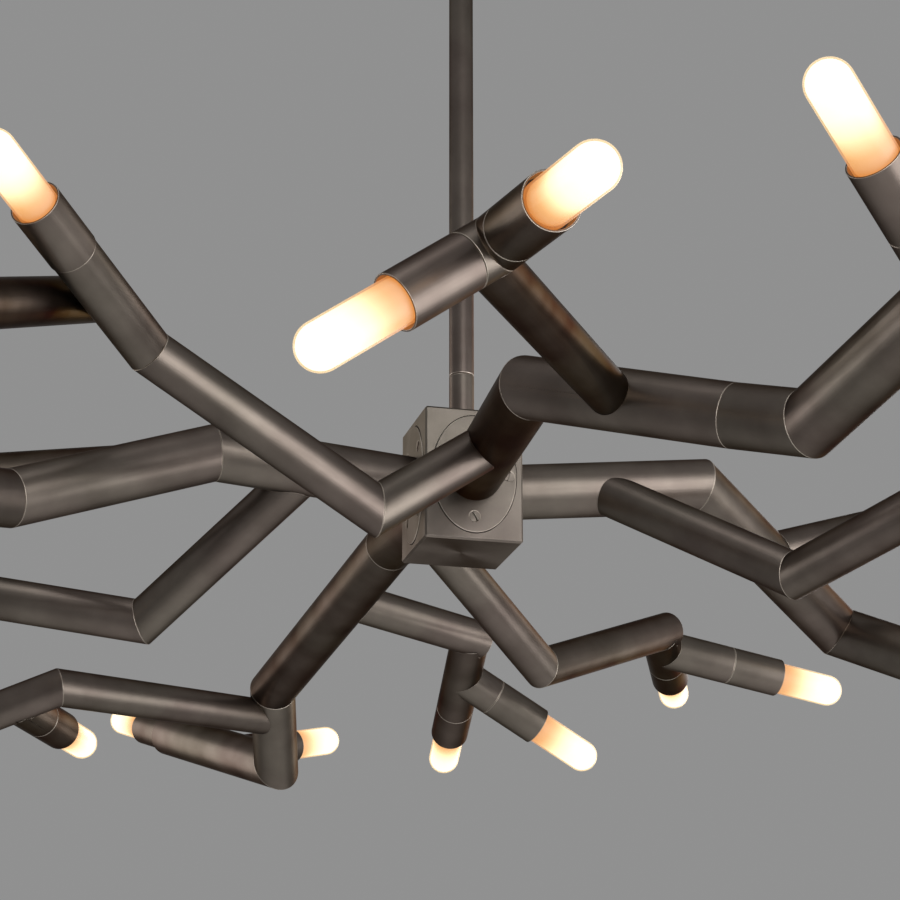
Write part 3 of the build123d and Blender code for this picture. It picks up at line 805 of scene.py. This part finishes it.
def dome(radius, middle):
    """A quarter round from the side of a tube to its tip, about a middle at this height."""
    turns = [math.pi / 2 * row / DOME_ROWS for row in range(DOME_ROWS)]
    side = [(radius * math.cos(turn), middle + radius * math.sin(turn)) for turn in turns]
    return side + [(0.0, middle + radius)]


def wall(radius, start, end, rows):
    """A straight side from one height towards another, without its last point."""
    return [(radius, start + (end - start) * row / rows) for row in range(rows)]


dome_middle = GLASS_SHOWN - GLASS_R
glass_outline = [(0.0, -GLASS_HIDDEN), (GLASS_FOOT_R, -GLASS_HIDDEN)]
glass_outline += wall(GLASS_R, GLASS_FOOT_RISE - GLASS_HIDDEN, dome_middle, GLASS_ROWS)
glass_outline += dome(GLASS_R, dome_middle)
glass_mesh = spun("bulb_glass", glass_outline, frosted_glass)
core_outline = [(0.0, -CORE_HIDDEN)]
core_outline += wall(CORE_R, CORE_FOOT_RISE - CORE_HIDDEN, dome_middle, CORE_ROWS)
core_outline += dome(CORE_R, dome_middle)
core_mesh = spun("bulb_core", core_outline, light_core)
print("bulb meshes", len(glass_mesh.polygons), len(core_mesh.polygons))

# %% [markdown]
# The cap is brass, rolled into a thread that screws into the lampholder. It shows only when a bulb is drawn
# out. The thread could be a profile swept along a helix, but a spun wall whose radius swells as a wave that
# climbs one pitch per turn has the same rounded thread in one closed mesh.

# %% Bulb cap mesh
CAP_R = 0.0058
CAP_LENGTH = 0.015
CAP_TAPER = 0.003
CAP_FOOT_R = 0.00348
COLLAR_R = 0.009
COLLAR_HEIGHT = 0.001
CONTACT_R = 0.00261
CONTACT_HEIGHT = 0.001
THREAD_PITCH = 0.0025
THREAD_DEPTH = 0.0007
THREAD_ROWS = 90


def cap_outline():
    """The outline of the cap from its collar, down the wall that takes the thread, to the contact."""
    top = -GLASS_HIDDEN
    thread_top = top - COLLAR_HEIGHT
    foot = thread_top - CAP_LENGTH
    collar = [(0.0, top), (COLLAR_R, top), (COLLAR_R, thread_top)]
    thread = wall(CAP_R, thread_top, foot + CAP_TAPER, THREAD_ROWS) + [(CAP_R, foot + CAP_TAPER)]
    contact = [(CAP_FOOT_R, foot + CONTACT_HEIGHT), (CONTACT_R, foot), (0.0, foot)]
    return collar + thread + contact


def cap_mesh():
    """The screw cap, with its wall pressed in by a wave that climbs as it turns."""
    mesh = spun("bulb_cap", cap_outline(), turned_brass)
    for vertex in mesh.vertices:
        radius = math.hypot(vertex.co.x, vertex.co.y)
        if abs(radius - CAP_R) < WELD:
            turn = math.atan2(vertex.co.y, vertex.co.x)
            wave = (1 - math.cos(2 * math.pi * vertex.co.z / THREAD_PITCH - turn)) / 2
            share = 1 - THREAD_DEPTH * wave / CAP_R
            vertex.co.x *= share
            vertex.co.y *= share
    return mesh


screw_cap_mesh = cap_mesh()
print("cap mesh", len(screw_cap_mesh.polygons))

# %% [markdown]
# Each bulb's axis is the slide of its own joint, and its tip is the furthest point of its solid along that
# axis. From these two the three shared meshes are set in place. The places could be listed by hand, but read
# from the solids they follow every change of the arms.

# %% Bulbs in their places
TIP_ZONE = 1e-5
BULB_PIECES = [("glass", glass_mesh, "bulb_glass"), ("core", core_mesh, "bulb_glass"),
               ("cap", screw_cap_mesh, "raw_brass")]


def bulb_places():
    """The node, body, sleeve mouth and direction of every bulb."""
    for joint in frame["joints"]:
        if joint["type"] == "slide":
            node = frame["record"]["behaviour"]["bodies"][joint["child"]][0]
            out = Vector(joint["axis"]).normalized()
            points = np.array([vertex.co for vertex in frame["nodes"][node].data.vertices], float)
            along = points @ np.array(out)
            tip = Vector(points[along > along.max() - TIP_ZONE].mean(axis=0))
            yield node, joint["child"], tip - out * GLASS_SHOWN, out


bulbs = list(bulb_places())
for node, body, mouth, out in bulbs:
    place = Matrix.Translation(mouth) @ out.to_track_quat("Z", "Y").to_matrix().to_4x4()
    for kind, mesh, slot in BULB_PIECES:
        piece = bpy.data.objects.new(f"{node}_{kind}", mesh)
        scene.collection.objects.link(piece)
        piece.matrix_world = place
        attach(piece, body)
        if kind == "glass":
            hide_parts(node)
print("bulbs in place", len(bulbs))

# %% [markdown]
# The last cell hands the scene over.

# %% Finish
bpy.context.view_layer.update()
